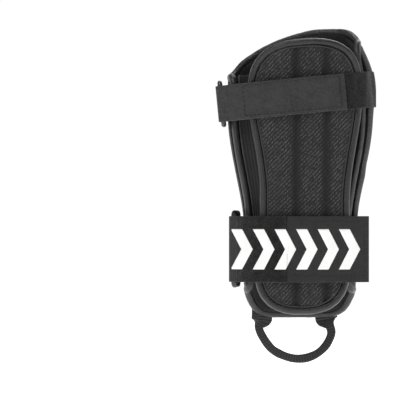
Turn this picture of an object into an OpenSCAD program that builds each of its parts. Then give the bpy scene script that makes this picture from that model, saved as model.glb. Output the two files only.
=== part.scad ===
// Left-hand snowboard wrist guard, worn pose: fingers up (+Z), back of the hand
// facing -Y, palm facing +Y, thumb towards +X. Origin at the forearm opening.

/* [Sleeve] */
// Outside width at the wrist
wrist_w = 87; // [82:1:92]
// Outside width across the palm
palm_w = 112; // [108:1:116]
// Outside depth of the padded sleeve at the wrist
wrist_d = 48; // [46:1:52]
// Outside depth of the padded sleeve at the palm
palm_d = 44; // [42:1:48]
// Height of the sleeve at its highest point, beside the index finger
palm_top = 220; // [216:1:224]
// Thickness of the padded shell
shell_t = 4; // [3:0.5:4.5]
// Thickness of the mesh lining
lining_t = 0.9; // [0.6:0.1:1.2]
// Radius of the leather tape rolled over the edges
binding_r = 2.9; // [2.5:0.1:3.2]

/* [Thumb hole] */
// Height of the hole's middle
thumb_z = 170; // [168:1:172]
// Half height of the hole's rim, centre line
thumb_half_z = 36; // [34:1:38]

/* [Back panel] */
// Height of the panel
panel_h = 217; // [214:1:219]
// Depth of the panel's bow across the hand, at 40 mm from its middle
panel_bow = 6.5; // [6:0.5:7]
// Width of the leather tape round the panel
panel_tape_w = 6; // [5:0.5:7]

/* [Straps] */
// Width of the upper strap
upper_w = 28; // [26:0.5:28]
// Width of the lower strap
lower_w = 51; // [48:0.5:51]
// Thickness of the strap webbing
strap_t = 1.4; // [1.2:0.1:1.5]
// Thickness of the hook patch under a strap end
hook_t = 1; // [0.8:0.1:1.1]
// Tilt of the upper strap, in degrees
upper_tilt = 5.5; // [4:0.5:6]
// Radius of the upper ring's bars
upper_bar_r = 1.9; // [1.7:0.1:1.9]
// Radius of the lower ring's bars
lower_bar_r = 2.1; // [1.9:0.1:2.1]

/* [Pull loop] */
// Width of the flat webbing ends
tab_w = 18; // [16:1:20]
// How far the loop hangs below the hem
loop_drop = 35; // [32:1:38]

/* [Hidden] */

gap = 0.1;
fabric = "#3a3a3c";
leather = "#56565a";
mesh_cloth = "#242426";
pile = "#262628";
webbing = "#404043";
plastic = "#161618";

// Section of the sleeve: an oval with flattened faces.
oval_power = 0.85;
taper_z0 = 65;
taper_z1 = 155;
thumb_slope_z = 172;
thumb_slope_in = 16;
pinky_edge_a = 201;
thumb_edge_a = -31;
hem_rise = 20;

function smooth01(t) = let (c = max(0, min(1, t))) c * c * (3 - 2 * c);
function spow(v, p) = sign(v) * pow(abs(v), p);
function taper(z) = smooth01((z - taper_z0) / (taper_z1 - taper_z0));
function half_w(z) = (wrist_w + (palm_w - wrist_w) * taper(z)) / 2;
function half_d(z) = (wrist_d + (palm_d - wrist_d) * taper(z)) / 2;
function thumb_slope(z) = thumb_slope_in * pow(max(0, z - thumb_slope_z) / 50, 2);
function skin(a, z, d) = [
    (half_w(z) + d - (cos(a) > 0 ? thumb_slope(z) - taper(z) : 0)) * spow(cos(a), oval_power),
    (half_d(z) + d) * spow(sin(a), oval_power),
    z
];

// Top and bottom edges of the sleeve, as heights at an angle round the section.
function side_x(a) = 56 * spow(cos(a), oval_power);
function thumb_fall(a) = 9 * pow(max(0, min(1, (43 - a) / 43)), 2.4)
    + (a < 0 ? 6 * pow(a / thumb_edge_a, 2) : 0);
function top_z(a) = palm_top - 32 * pow(max(0, 30 - side_x(min(a, 180))) / 85, 2.2) - thumb_fall(a);
function hem_z(a) = binding_r + hem_rise * pow(a < 0 || a > 180 ? 1 : abs(cos(a)), 6);

// The sleeve's corners are rounded: how far its edge has dropped at an angle near either side edge.
function round_off(a, edge, span, drop) = drop * (1 - sqrt(1 - pow(max(0, 1 - abs(a - edge) / span), 2)));
function corner(a) = round_off(a, thumb_edge_a, 17, 12) + round_off(a, pinky_edge_a, 12, 10);
function edge_top(a) = top_z(a) - corner(a);
function edge_hem(a) = hem_z(a) + 0.6 * corner(a);

function unit(v) = v / norm(v);
function steps(n) = [for (i = [0 : n]) i / n];
function mix(a, b, t) = a + (b - a) * t;

// Closed body between two grids of points that face each other.
module slab(inner, outer) {
    rows = len(inner);
    cols = len(inner[0]);
    n = rows * cols;
    function at(i, j) = i * cols + j;
    rim = concat(
        [for (j = [0 : cols - 1]) at(0, j)],
        [for (i = [1 : rows - 1]) at(i, cols - 1)],
        [for (j = [cols - 2 : -1 : 0]) at(rows - 1, j)],
        [for (i = [rows - 2 : -1 : 1]) at(i, 0)]
    );
    m = len(rim);
    faces = concat(
        [for (i = [0 : rows - 2], j = [0 : cols - 2], k = [0, 1])
            k == 0 ? [n + at(i, j), n + at(i + 1, j), n + at(i + 1, j + 1)]
                : [n + at(i, j), n + at(i + 1, j + 1), n + at(i, j + 1)]],
        [for (i = [0 : rows - 2], j = [0 : cols - 2], k = [0, 1])
            k == 0 ? [at(i, j), at(i + 1, j + 1), at(i + 1, j)]
                : [at(i, j), at(i, j + 1), at(i + 1, j + 1)]],
        [for (r = [0 : m - 1], k = [0, 1]) let (p = rim[r], q = rim[(r + 1) % m])
            k == 0 ? [p, n + p, n + q] : [p, n + q, q]]
    );
    polyhedron(points = concat([for (r = inner) each r], [for (r = outer) each r]), faces = faces);
}

// Round or oval bar swept along points; each point has its own outward direction.
module bar(points, outward, r_out, r_side, sides = 10, closed = false) {
    n = len(points);
    function ahead(i) = closed ? points[(i + 1) % n] : points[min(i + 1, n - 1)];
    function behind(i) = closed ? points[(i + n - 1) % n] : points[max(i - 1, 0)];
    rings = [for (i = [0 : n - 1])
        let (t = unit(ahead(i) - behind(i)))
        let (o = unit(outward[i] - t * (outward[i] * t)))
        let (s = cross(t, o))
        for (k = [0 : sides - 1])
            points[i] + o * r_out * cos(360 * k / sides) + s * r_side * sin(360 * k / sides)];
    spans = closed ? n - 1 : n - 2;
    walls = [for (i = [0 : spans], k = [0 : sides - 1], h = [0, 1])
        let (a = i * sides + k, b = i * sides + (k + 1) % sides)
        let (c = ((i + 1) % n) * sides + k, d = ((i + 1) % n) * sides + (k + 1) % sides)
        h == 0 ? [a, c, d] : [a, d, b]];
    ends = closed ? [] : [
        [for (k = [0 : sides - 1]) k],
        [for (k = [sides - 1 : -1 : 0]) (n - 1) * sides + k]
    ];
    polyhedron(points = rings, faces = concat(walls, ends));
}

// Smooth curve through hand-chosen points.
function curve_at(p, i, t) = let (
    a = p[max(i - 1, 0)], b = p[i], c = p[i + 1], d = p[min(i + 2, len(p) - 1)])
    0.5 * (2 * b + (c - a) * t + (2 * a - 5 * b + 4 * c - d) * t * t
        + (3 * b - a - 3 * c + d) * t * t * t);
function curve(p, n) = concat(
    [for (i = [0 : len(p) - 2], k = [0 : n - 1]) curve_at(p, i, k / n)],
    [p[len(p) - 1]]
);

// Flat strap: a path in plan, given a thickness and a width.
function across(path, i) = let (t = unit(path[min(i + 1, len(path) - 1)] - path[max(i - 1, 0)])) [-t.y, t.x];
module strap(path, t, w) {
    left = [for (i = [0 : len(path) - 1]) path[i] + across(path, i) * t / 2];
    right = [for (i = [len(path) - 1 : -1 : 0]) path[i] - across(path, i) * t / 2];
    linear_extrude(height = w, center = true)
        polygon(concat(left, right));
}

// Patch of the sleeve between its edges, from depth d0 to d1.
module sleeve_layer(d0, d1, cols, rows, inset) {
    angles = [for (u = steps(cols)) mix(thumb_edge_a + inset, pinky_edge_a - inset, u)];
    // The tape is round, so it reaches further down a steep edge than down a level one.
    function reach(a, rise) = let (along = skin(a + 1, 110, -2) - skin(a - 1, 110, -2))
        binding_r * sqrt(1 + pow(rise / norm(along), 2));
    function low(a) = edge_hem(a) - binding_r + reach(a, edge_hem(a + 1) - edge_hem(a - 1)) + 0.9;
    function high(a) = edge_top(a) - reach(a, edge_top(a + 1) - edge_top(a - 1)) - 0.7;
    function height(a, v) = mix(low(a), high(a), v);
    inner = [for (v = steps(rows)) [for (a = angles) skin(a, height(a, v), d0)]];
    outer = [for (v = steps(rows)) [for (a = angles) skin(a, height(a, v), d1)]];
    slab(inner, outer);
}

// Thumb hole, in angle round the section and height.
thumb_a = 47;
thumb_half_a = 23.5;
thumb_sides = 40;
function thumb_ring(d) = [for (k = [0 : thumb_sides - 1]) let (w = 360 * k / thumb_sides)
    skin(thumb_a + thumb_half_a * cos(w), thumb_z + thumb_half_z * sin(w), d)];
module thumb_cut() {
    clear = binding_r + 1.3;
    rim_a = skin(thumb_a - thumb_half_a, thumb_z, 0);
    rim_b = skin(thumb_a + thumb_half_a, thumb_z, 0);
    half_x = norm(rim_b - rim_a) / 2 + clear;
    translate((rim_a + rim_b) / 2)
        rotate([0, 0, atan2(rim_a.y - rim_b.y, rim_a.x - rim_b.x)])
            rotate([-90, 0, 0])
                linear_extrude(height = 36, center = true)
                    polygon([for (k = [0 : 39]) [half_x * cos(k * 9), (thumb_half_z + clear) * sin(k * 9)]]);
}

module palm_shell() {
    color(fabric)
        difference() {
            sleeve_layer(-shell_t, 0, 34, 26, 7.5);
            thumb_cut();
        }
}

module shell_lining() {
    color(mesh_cloth)
        difference() {
            sleeve_layer(-shell_t - 0.2 - lining_t, -shell_t - 0.2, 26, 18, 8);
            thumb_cut();
        }
}

// Three stays down the palm side of the wrist, each under a padded channel.
stay_x = [-21.5, -2, 17.5];
stay_z0 = 23;
stay_z1 = 127;
function palm_point(x, z, d) = let (c = spow(x / (half_w(z) + d), 1 / oval_power))
    [x, (half_d(z) + d) * pow(sqrt(1 - c * c), oval_power), z];

module palm_stays() {
    stay_w = 5.6;
    stay_t = 0.85;
    zs = [for (v = steps(8)) mix(stay_z0 + 3, stay_z1 - 4, v)];
    color(plastic)
        for (x = stay_x)
            slab(
                [for (z = zs) [for (u = [-0.5, 0.5]) palm_point(x + u * stay_w, z, 0.25)]],
                [for (z = zs) [for (u = [-0.5, 0.5]) palm_point(x + u * stay_w, z, 0.25 + stay_t)]]
            );
}

module palm_stay_covers() {
    cover_w = 11;
    crest = 2.4;
    function end_round(v) = sqrt(1 - pow(max(0, v * 13 - 12), 2) * 0.9);
    function edge(u) = pow(abs(u), 3);
    module cover(x) {
        function p(u, v, d) = palm_point(
            x + u * cover_w / 2 * end_round(v), mix(stay_z0, stay_z1, v), d);
        vs = [0, 0.25, 0.5, 0.75, 0.92, 0.96, 0.985, 1];
        us = [-1, -0.8, -0.4, 0, 0.4, 0.8, 1];
        slab(
            [for (v = vs) [for (u = us) p(u, v, 0.15 + 1.35 * (1 - edge(u)) * (v == 1 ? 0.2 : 1))]],
            [for (v = vs) [for (u = us) p(u, v, 0.7 + (crest - 0.7) * (1 - edge(u)) * (v == 1 ? 0.3 : 1))]]
        );
    }
    color(fabric)
        for (x = stay_x)
            cover(x);
}

// Raised pad over the heel of the hand, on the little-finger side.
module hypothenar_pad() {
    pad_a = 121;
    pad_half_a = 32;
    pad_z = 164;
    pad_half_z = 24;
    pad_h = 3.6;
    function span(v) = pow(1 - pow(abs(2 * v - 1), 3.2), 1 / 2.4);
    function p(u, v, d) = skin(
        pad_a + u * pad_half_a * (0.22 + 0.78 * span(v)), pad_z + (2 * v - 1) * pad_half_z, d);
    function dome(u, v) = (1 - pow(abs(u), 4)) * (1 - pow(abs(2 * v - 1), 5));
    vs = [for (k = [0 : 14]) (1 - cos(180 * k / 14)) / 2];
    us = [for (k = [0 : 14]) -cos(180 * k / 14)];
    color(fabric)
        slab(
            [for (v = vs) [for (u = us) p(u, v, gap)]],
            [for (v = vs) [for (u = us) p(u, v, 0.6 + (pad_h - 0.6) * dome(u, v))]]
        );
}

// Leather tape rolled over the sleeve's edges.
module edge_tape(angles_heights) {
    depth = -shell_t / 2 - 0.3;
    points = [for (e = angles_heights) skin(e[0], e[1], depth)];
    outward = [for (e = angles_heights) skin(e[0], e[1], depth + 5) - skin(e[0], e[1], depth)];
    color(leather)
        bar(points, outward, binding_r, binding_r - 0.2, 8);
}

// Angles round the sleeve from the little finger to the thumb, closer together near the corners.
tape_angles = [for (u = steps(44)) mix(pinky_edge_a - 1, thumb_edge_a + 1.5, (1 - cos(180 * u)) / 2)];
module top_binding() {
    edge_tape([for (a = tape_angles) [a, edge_top(a) + gap]]);
}

module hem_binding() {
    edge_tape([for (a = tape_angles) [a, edge_hem(a) - binding_r - gap]]);
}

// Tape up one side edge, between the ends of the top and hem tapes.
module side_tape(edge_a, end_a) {
    low = edge_hem(end_a) - binding_r + 2.4;
    high = edge_top(end_a) - 2.4;
    edge_tape([for (u = steps(24)) [edge_a, mix(low, high, u)]]);
}

module pinky_edge_binding() {
    side_tape(pinky_edge_a, pinky_edge_a - 1);
}

module thumb_edge_binding() {
    side_tape(thumb_edge_a, thumb_edge_a + 1.5);
}

module thumb_hole_binding() {
    depth = -shell_t / 2;
    points = thumb_ring(depth);
    outward = thumb_ring(depth + 5) - points;
    color(leather)
        bar(points, outward, binding_r + 0.4, binding_r - 0.1, 10, true);
}

// Back panel, bowed over the back of the hand, waisted at the wrist.
panel_mid_z = panel_h / 2 + 0.8;
panel_slant = 8;
standoff = 2.2;
function back_point(x, z, d) = [x, -(half_d(z) + standoff + d) + panel_bow * pow(x / 40, 2), z];
function panel_left(z) = 37.5 - 5.9 * smooth01((z - 20) / 50) + 10.4 * smooth01((z - 95) / 85);
function panel_right(z) = 39.8 - 2 * smooth01((z - 20) / 50) + 10.9 * smooth01((z - 85) / 95);
function panel_point(s, v, inset, d) = let (
    q = (2 * v - 1) * 0.9995,
    z = panel_mid_z + q * (panel_h / 2 - inset),
    round_end = pow(1 - pow(abs(q), 8), 1 / 2.4),
    left = (panel_left(z) - inset) * round_end,
    right = (panel_right(z) - inset) * round_end,
    x = mix(-left, right, (s + 1) / 2),
    drop = panel_slant * (48 - x) / 93 * smooth01((z - 130) / 88))
    back_point(x, z - drop, d);
function panel_rows(n) = [for (k = [0 : n]) (1 - cos(180 * k / n)) / 2];

module panel_layer(inset, d0, d1, cols, rows) {
    us = [for (u = steps(cols)) 2 * u - 1];
    slab(
        [for (v = panel_rows(rows)) [for (s = us) panel_point(-s, v, inset, d0)]],
        [for (v = panel_rows(rows)) [for (s = us) panel_point(-s, v, inset, d1)]]
    );
}

// Cover quilted into three upright ribs by two channels.
channel_x = [-3.5, 19.5];
channel_w = 2.6;
channel_depth = 1.3;
cover_d = 7.2;
function dip(x, middle) = channel_depth * exp(-pow((x - middle) / channel_w, 2));
function quilt(x) = cover_d - dip(x, channel_x[0]) - dip(x, channel_x[1]);
module back_cover() {
    us = [for (u = steps(26)) 2 * u - 1];
    inset = panel_tape_w + gap;
    function top_point(s, v) = let (p = panel_point(s, v, inset, 0)) back_point(p.x, p.z, quilt(p.x));
    color(fabric)
        slab(
            [for (v = panel_rows(16)) [for (s = us) panel_point(-s, v, inset, 4.9)]],
            [for (v = panel_rows(16)) [for (s = us) top_point(-s, v)]]
        );
}

module back_splint() {
    color(plastic)
        panel_layer(panel_tape_w + 3, 3.35, 4.8, 8, 14);
}

module back_foam() {
    color(mesh_cloth)
        panel_layer(panel_tape_w + gap + 0.1, 0.7, 3.0, 8, 14);
}

module back_lining() {
    color(mesh_cloth)
        panel_layer(panel_tape_w + gap, 0, 0.6, 8, 14);
}

module back_binding() {
    middle_d = 3.5;
    half = panel_tape_w / 2;
    rim = concat(
        [for (v = panel_rows(22)) [1, v]],
        [for (s = [0.5, 0, -0.5]) [s, 1]],
        [for (v = panel_rows(22)) [-1, 1 - v]],
        [for (s = [-0.5, 0, 0.5]) [s, 0]]
    );
    points = [for (e = rim) panel_point(e[0], e[1], half, middle_d)];
    outer = [for (e = rim) panel_point(e[0], e[1], half, middle_d + 5)];
    outward = outer - points;
    color(leather)
        bar(points, outward, 3.9, half - gap, 8, true);
}

// Stretch mesh between the sleeve's edge and the underside of the back panel.
module gusset(edge_a, s, reach) {
    zs = [for (v = steps(12)) mix(26, 186, v)];
    function row(z, lift) = let (
        e = skin(edge_a, z, -shell_t - lift),
        v = (z - 0.8) / panel_h,
        b = panel_point(s, v, panel_tape_w + 1, -0.6 - lift))
        [for (u = steps(3)) mix([e.x, e.y, z], [b.x, b.y, z], mix(reach, 0.97, u))];
    color(mesh_cloth)
        if (s < 0)
            slab([for (z = zs) row(z, 1)], [for (z = zs) row(z, 0)]);
        else
            slab([for (z = zs) row(z, 0)], [for (z = zs) row(z, 1)]);
}

module pinky_gusset() {
    gusset(pinky_edge_a + 2, -1, 0.07);
}

module thumb_gusset() {
    gusset(thumb_edge_a - 2, 1, 0.2);
}

// Straps. Both cross the back panel, pass a ring on the little-finger side and fold back.
band_d = 7.8 + strap_t / 2;
tail_lift = strap_t + 0.3 + hook_t + 0.15;
upper_z = 169.5;
lower_z = 51.3;
upper_bar = [-61.2, -15.5];
upper_keeper_bar = [-60.9, -2.5];
lower_bar = [-51.5, -17];
lower_keeper_bar = [-48.2, -4];
upper_wrap_a = 57;
lower_wrap_a = 51;
upper_tail_end = 34.6;
lower_tail_end = 52.5;
function over_back(x, z, extra) = let (p = back_point(x, z, band_d + extra)) [p.x, p.y];
function wrap(bar, bar_r, a0, a1, n) = [for (u = steps(n)) let (a = mix(a0, a1, u))
    bar + (bar_r + 0.35 + strap_t / 2) * [cos(a), sin(a)]];

module tilted() {
    translate([0, 0, upper_z])
        rotate([0, -upper_tilt, 0])
            children();
}

upper_band_path = concat(
    curve(concat(
        [[58.6, -3], [57.7, -10.4], [54.3, -19.3]],
        [for (x = [44 : -12 : -40]) over_back(x, upper_z, 0)]
    ), 4),
    [[-55.9, -14.9]]
);
upper_tail_path = concat(
    wrap(upper_bar, upper_bar_r, upper_wrap_a + 8, upper_wrap_a + 180, 12),
    curve(concat(
        [[-53.5, -23.6]],
        [for (x = [-44 : 10 : 26]) over_back(x, upper_z, tail_lift)],
        [over_back(upper_tail_end, upper_z, tail_lift)]
    ), 4)
);

module upper_strap_band() {
    color(pile)
        tilted() strap(upper_band_path, strap_t, upper_w);
}

module upper_strap_tail() {
    color(webbing)
        tilted() strap(upper_tail_path, strap_t, upper_w);
}

module upper_hook_patch() {
    path = [for (x = [-41 : 5 : 33]) over_back(x, upper_z, tail_lift - strap_t / 2 - hook_t / 2 - 0.15)];
    color(pile)
        tilted() strap(path, hook_t, upper_w - 2);
}

// Ring moulded in one piece: a tall rectangle of round bar with rounded corners.
module ring(bar_a, bar_b, r, h) {
    corner = r + 0.3;
    across_bars = unit(bar_b - bar_a);
    mid = (bar_a + bar_b) / 2;
    half_u = norm(bar_b - bar_a) / 2;
    half_v = h / 2 - r;
    path = [for (q = [0 : 3], k = [0 : 6])
        let (w = 90 * (q + k / 6))
        let (u = (q == 0 || q == 3 ? 1 : -1) * (half_u - corner) + corner * cos(w))
        let (v = (q < 2 ? 1 : -1) * (half_v - corner) + corner * sin(w))
        [mid.x + across_bars.x * u, mid.y + across_bars.y * u, v]];
    outward = [for (p = path) [-across_bars.y, across_bars.x, 0]];
    bar(path, outward, r, r, 24, true);
}

module upper_ring() {
    color(plastic)
        tilted() ring(upper_bar, upper_keeper_bar, upper_bar_r, upper_w + 0.9 + 4 * upper_bar_r);
}

module lower_ring() {
    color(plastic)
        translate([0, 0, lower_z])
            ring(lower_bar, lower_keeper_bar, lower_bar_r, lower_w + 0.9 + 4 * lower_bar_r);
}

// Webbing tab that loops round the upper ring's inner bar and is sewn to the sleeve.
module upper_ring_keeper() {
    path = concat(
        curve([[-55.4, 13.2], [-57.8, 6], [-57.9, 0.5]], 3),
        wrap(upper_keeper_bar, upper_bar_r, 0, -180, 10),
        curve([[-63, 3], [-60.6, 9], [-57.2, 14.6]], 3)
    );
    color(webbing)
        tilted() strap(path, 1.2, upper_w - 2);
}

// Lower strap: looped and sewn round its ring, then round the palm and thumb sides.
lower_band_path = let (
    r = lower_bar_r + 0.35 + strap_t / 2,
    under = [for (a = [164 : -12 : 8]) let (p = skin(a, lower_z, 1.2 + 2.6 * sin(a))) [p.x, p.y]],
    over = [for (a = [134 : 10 : 154]) let (p = skin(a, lower_z, 2.9 + 2.6 * sin(a))) [p.x, p.y]])
    concat(
        curve(concat(over, [[-49.8, 9], lower_keeper_bar + [-r, 1]]), 3),
        wrap(lower_keeper_bar, lower_bar_r, 180, 360, 12),
        curve(concat(
            [lower_keeper_bar + [r, 1.5], [-44.9, 4]], under,
            [[47.2, -7], [46.5, -15.2], [44.2, -23.9], [39, -29.7]],
            [for (x = [30 : -12 : -30]) over_back(x, lower_z, 0)],
            [[-41, -24.6]]
        ), 3),
        [[-46.9, -17.5]]
    );
lower_tail_path = concat(
    wrap(lower_bar, lower_bar_r, lower_wrap_a + 8, lower_wrap_a + 180, 12),
    curve(concat(
        [[-44.5, -27.6]],
        [for (x = [-35 : 13 : 30]) over_back(x, lower_z, tail_lift)],
        [[42, over_back(38, lower_z, tail_lift).y]],
        [[lower_tail_end, over_back(38, lower_z, tail_lift).y + 4.5]]
    ), 4)
);

module lower_strap_band() {
    color(pile)
        translate([0, 0, lower_z])
            strap(lower_band_path, strap_t, lower_w - 1);
}

module lower_strap_tail() {
    color(webbing)
        translate([0, 0, lower_z])
            strap(lower_tail_path, strap_t, lower_w);
}

module lower_hook_patch() {
    path = [for (x = [-9 : 5 : 31]) over_back(x, lower_z, tail_lift - strap_t / 2 - hook_t / 2 - 0.15)];
    color(pile)
        translate([0, 0, lower_z])
            strap(path, hook_t, lower_w - 3);
}

// Pull loop under the palm side of the hem: flat sewn ends, folded strand between.
loop_x = [-29, 21];
loop_y = 22.3;
tab_y = [21.1, 23.8];
tab_turn = [24, -13];
swing_z = -8.5;
loop_route = [
    [-31.5, -9.6], [-31, -13], [-28, -19], [-22, -27], [-14, -32], [-4, -35],
    [6, -34.5], [15, -30.5], [21.5, -24], [25, -16.5], [25, -12.5], [24, -9.6]
];
module pull_loop() {
    strand_w = 3.4;
    strand_d = 2;
    flat = curve(loop_route, 4);
    points = [for (p = flat) [p.x, loop_y, p.y * loop_drop / 35]];
    outward = [for (p = points) [0, 1, 0]];
    color(webbing)
        bar(points, outward, strand_d, strand_w, 10);
}

module pull_loop_tabs() {
    tab_top = 13;
    color(webbing)
        for (i = [0, 1])
            translate([loop_x[i], tab_y[i], 0])
                rotate([90, 0, tab_turn[i]])
                    linear_extrude(height = strap_t, center = true)
                        difference() {
                            translate([-tab_w / 2, swing_z + 1.5])
                                square([tab_w, tab_top - swing_z - 1.5]);
                            translate([-tab_w / 2, swing_z + 1.5])
                                rotate(-45)
                                    square([8, 8], center = true);
                            translate([tab_w / 2, swing_z + 1.5])
                                rotate(45)
                                    square([8, 8], center = true);
                        }
}

palm_shell();
shell_lining();
palm_stays();
palm_stay_covers();
hypothenar_pad();
top_binding();
pinky_edge_binding();
thumb_edge_binding();
hem_binding();
thumb_hole_binding();
pinky_gusset();
thumb_gusset();
back_cover();
back_splint();
back_foam();
back_lining();
back_binding();
upper_strap_band();
upper_strap_tail();
upper_hook_patch();
upper_ring();
upper_ring_keeper();
lower_strap_band();
lower_strap_tail();
lower_hook_patch();
lower_ring();
pull_loop();
pull_loop_tabs();
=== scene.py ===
"""Left-hand snowboard wrist guard: fabric, leather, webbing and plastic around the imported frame.

Shapes are worked out in millimetres with the same section as the frame and stored in metres.
"""

import math

import bmesh
import bpy
import mathutils
import numpy as np
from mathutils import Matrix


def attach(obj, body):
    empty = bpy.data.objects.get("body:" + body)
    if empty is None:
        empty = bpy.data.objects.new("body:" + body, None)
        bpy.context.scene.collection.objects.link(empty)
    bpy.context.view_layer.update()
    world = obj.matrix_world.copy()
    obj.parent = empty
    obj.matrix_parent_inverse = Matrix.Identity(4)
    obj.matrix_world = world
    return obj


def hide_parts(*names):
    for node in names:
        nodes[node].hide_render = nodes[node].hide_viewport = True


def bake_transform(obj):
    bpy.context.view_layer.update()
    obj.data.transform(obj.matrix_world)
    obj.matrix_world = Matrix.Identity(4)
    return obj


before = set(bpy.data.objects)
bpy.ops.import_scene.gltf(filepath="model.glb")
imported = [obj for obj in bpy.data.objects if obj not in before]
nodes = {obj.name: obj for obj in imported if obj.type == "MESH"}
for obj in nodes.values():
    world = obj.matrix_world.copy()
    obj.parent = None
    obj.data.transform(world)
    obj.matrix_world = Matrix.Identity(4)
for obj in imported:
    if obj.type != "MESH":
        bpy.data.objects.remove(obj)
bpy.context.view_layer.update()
MM = 0.001

# ---------------------------------------------------------------- sizes, as in the frame (mm)
WRIST_W, PALM_W, WRIST_D, PALM_D = 87.0, 112.0, 48.0, 44.0
PALM_TOP, SHELL_T, BINDING_R = 220.0, 4.0, 2.9
THUMB_A, THUMB_HALF_A, THUMB_Z, THUMB_HALF_Z = 47.0, 23.5, 170.0, 36.0
PINKY_EDGE_A, THUMB_EDGE_A = 201.0, -31.0
PANEL_H, PANEL_BOW, TAPE_W, STANDOFF, PANEL_SLANT = 217.0, 6.5, 6.0, 2.2, 8.0
UPPER_W, LOWER_W, STRAP_T, HOOK_T, UPPER_TILT = 28.0, 51.0, 1.4, 1.0, 5.5
UPPER_BAR_R, LOWER_BAR_R = 1.9, 2.1
UPPER_Z, LOWER_Z = 169.5, 51.3
UPPER_BAR, UPPER_KEEPER_BAR = (-61.2, -15.5), (-60.9, -2.5)
LOWER_BAR, LOWER_KEEPER_BAR = (-51.5, -17.0), (-48.2, -4.0)
BAND_D = 7.8 + STRAP_T / 2
TAIL_LIFT = STRAP_T + 0.3 + HOOK_T + 0.15
STAY_X, STAY_Z0, STAY_Z1 = (-21.5, -2.0, 17.5), 23.0, 127.0
CHANNEL_X = (-3.5, 19.5)
LOOP_X, TAB_Y, TAB_TURN, LOOP_Y, SWING_Z = (-29.0, 21.0), (21.1, 23.8), (24.0, -13.0), 22.3, -8.5
TAB_W = 18.0
PAD_A, PAD_Z, PAD_HALF_A, PAD_HALF_Z = 121.0, 164.0, 32.0, 24.0
SEAM_NORMAL = 5.0


# ---------------------------------------------------------------- the sleeve's shape
def smooth01(t):
    c = np.clip(t, 0, 1)
    return c * c * (3 - 2 * c)


def spow(v, p):
    return np.sign(v) * np.abs(v) ** p


def taper(z):
    return smooth01((z - 65) / 90)


def half_w(z):
    return (WRIST_W + (PALM_W - WRIST_W) * taper(z)) / 2


def half_d(z):
    return (WRIST_D + (PALM_D - WRIST_D) * taper(z)) / 2


def skin(a, z, d):
    """Point on the sleeve at angle a (degrees from the thumb side, through the palm) and height z, d outside."""
    a, z, d = np.broadcast_arrays(np.asarray(a, float), np.asarray(z, float), np.asarray(d, float))
    cos, sin = np.cos(np.radians(a)), np.sin(np.radians(a))
    slope = 16 * (np.maximum(0, z - 172) / 50) ** 2
    x = (half_w(z) + d - np.where(cos > 0, slope - taper(z), 0)) * spow(cos, 0.85)
    # The thumb side is let out a little at the palm and at the wrist.
    full = 1.4 * smooth01((z - 150) / 20) * smooth01((212 - z) / 25)
    full = full + 1.1 * smooth01((z - 66) / 10) * smooth01((118 - z) / 12)
    x = x + full * smooth01((cos - 0.85) / 0.15)
    return np.stack([x, (half_d(z) + d) * spow(sin, 0.85), z], -1)


def top_z(a):
    a = np.asarray(a, float)
    x = 56 * spow(np.cos(np.radians(np.minimum(a, 180))), 0.85)
    fall = 9 * np.clip((43 - a) / 43, 0, 1) ** 2.4 + np.where(a < 0, 6 * (a / THUMB_EDGE_A) ** 2, 0)
    return PALM_TOP - 32 * (np.maximum(0, 30 - x) / 85) ** 2.2 - fall - 3 * smooth01((a - 138) / 24)


def hem_z(a):
    a = np.asarray(a, float)
    side = np.where((a < 0) | (a > 180), 1, np.abs(np.cos(np.radians(a))))
    return BINDING_R + 20 * side**6


def corner(a):
    """How far the sleeve's edge has turned away from its top or hem near its two side edges."""
    thumb = np.clip(1 - (np.asarray(a, float) - THUMB_EDGE_A) / 17, 0, 1)
    pinky = np.clip(1 - (PINKY_EDGE_A - np.asarray(a, float)) / 12, 0, 1)
    return 12 * (1 - np.sqrt(1 - thumb**2)) + 10 * (1 - np.sqrt(1 - pinky**2))


def edge_top(a):
    return top_z(a) - corner(a)


def edge_hem(a):
    return hem_z(a) + 0.85 * corner(a)


def palm_point(x, z, d):
    c = spow(x / (half_w(z) + d), 1 / 0.85)
    return np.stack([x + 0 * z, (half_d(z) + d) * np.sqrt(1 - c * c) ** 0.85, z + 0 * x], -1)


def back_point(x, z, d):
    x, z, d = np.broadcast_arrays(np.asarray(x, float), np.asarray(z, float), np.asarray(d, float))
    return np.stack([x, -(half_d(z) + STANDOFF + d) + PANEL_BOW * (x / 40) ** 2, z], -1)


def panel_point(s, v, inset, d):
    """Point on the back panel: s from -1 (little finger) to 1 (thumb), v from 0 (hem) to 1 (top)."""
    q = (2 * v - 1) * 0.9995
    z = PANEL_H / 2 + 0.8 + q * (PANEL_H / 2 - inset)
    round_end = (1 - np.abs(q) ** 8) ** (1 / 2.4)
    left = 37.5 - 5.9 * smooth01((z - 20) / 50) + 10.4 * smooth01((z - 95) / 85)
    right = 39.8 - 2 * smooth01((z - 20) / 50) + 10.9 * smooth01((z - 85) / 95)
    left, right = -(left - inset) * round_end, (right - inset) * round_end
    x = left + (right - left) * (s + 1) / 2
    drop = PANEL_SLANT * (48 - x) / 93 * smooth01((z - 130) / 88)
    return back_point(x, z - drop, d)


def thumb_ring(w, grow, d):
    """Point on the rim of the thumb hole, w from 0 to 1 round it."""
    w = 2 * np.pi * np.asarray(w, float)
    return skin(
        THUMB_A + (THUMB_HALF_A + grow * 1.35) * np.cos(w), THUMB_Z + (THUMB_HALF_Z + grow) * np.sin(w), d
    )


def wobble(points, size, seed=0):
    """Smooth noise from a few seeded sines, between about -1 and 1, for points in mm."""
    r = np.random.default_rng(100 + seed)
    total = 0
    for k in range(6):
        direction = r.normal(size=3)
        direction *= (0.6 + 0.25 * k) * 2 * np.pi / size / np.linalg.norm(direction)
        total = total + np.sin(points @ direction + r.uniform(0, 6.28)) / (1 + 0.35 * k)
    return total / 3


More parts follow.
